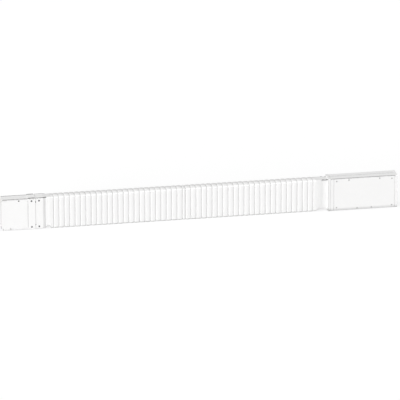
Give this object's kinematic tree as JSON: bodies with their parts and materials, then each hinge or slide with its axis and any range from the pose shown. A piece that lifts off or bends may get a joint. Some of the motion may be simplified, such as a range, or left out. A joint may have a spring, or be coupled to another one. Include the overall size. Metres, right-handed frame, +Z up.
{
  "type": "flexible busway section",
  "caption": "Flexible length of enclosed busway: a sheet-metal end casing, pleated sleeves over laminated links, and a joint box that takes the next section's end.",
  "frame": {"origin": "centre of the overall box at its base, on the floor that the section stands on", "axes": "+X along the run from the end casing to the joint box, -Y the cover side, +Z up"},
  "size_m": [1.819, 0.0732, 0.156],
  "materials": {
    "casing_paint": "satin powder coat",
    "saddle_paint": "satin powder coat",
    "box_paint": "satin powder coat",
    "cover_paint": "satin powder coat",
    "neck_plastic": "fine moulded grain",
    "sleeve_plastic": "matte, flexible",
    "gasket": "matte",
    "insulator": "fine moulded grain",
    "tinned_copper": "dull tin plate",
    "copper": "brushed copper foil",
    "screw_steel": "zinc plated",
    "cover_screw": "pale grey lacquer"
  },
  "bodies": {
    "root": {"casing_front": "casing_paint", "casing_back": "casing_paint", "casing_floor": "casing_paint", "casing_lid": "casing_paint", "lid_gasket_front": "gasket", "lid_gasket_back": "gasket", "contact_carrier": "insulator", "saddle_left": "saddle_paint", "saddle_right": "saddle_paint", "neck_left": "neck_plastic", "neck_right": "neck_plastic", "sleeve_left": "sleeve_plastic", "sleeve_right": "sleeve_plastic", "joining_band": "neck_plastic", "earth_braid": "copper", "box_front": "box_paint", "box_back": "box_paint", "box_end_left": "box_paint", "box_end_right": "box_paint", "cover_gasket": "gasket", "cover_plate": "cover_paint", "rivet_left": "box_paint", "rivet_right": "box_paint", "jaw_carrier": "insulator", "contact_bar_1": "tinned_copper", "flexible_link_1": "copper", "jaw_1": "tinned_copper", "contact_bar_2": "tinned_copper", "flexible_link_2": "copper", "jaw_2": "tinned_copper", "contact_bar_3": "tinned_copper", "flexible_link_3": "copper", "jaw_3": "tinned_copper", "contact_bar_4": "tinned_copper", "flexible_link_4": "copper", "jaw_4": "tinned_copper", "saddle_screw_1": "screw_steel", "cover_screw_1": "cover_screw", "saddle_screw_2": "screw_steel", "cover_screw_2": "cover_screw", "saddle_screw_3": "screw_steel", "cover_screw_3": "cover_screw", "saddle_screw_4": "screw_steel", "cover_screw_4": "cover_screw", "saddle_screw_5": "screw_steel", "cover_screw_5": "cover_screw", "saddle_screw_6": "screw_steel", "cover_screw_6": "cover_screw", "saddle_screw_7": "screw_steel", "cover_screw_7": "cover_screw", "saddle_screw_8": "screw_steel", "cover_screw_8": "cover_screw"}
  },
  "joints": []
}
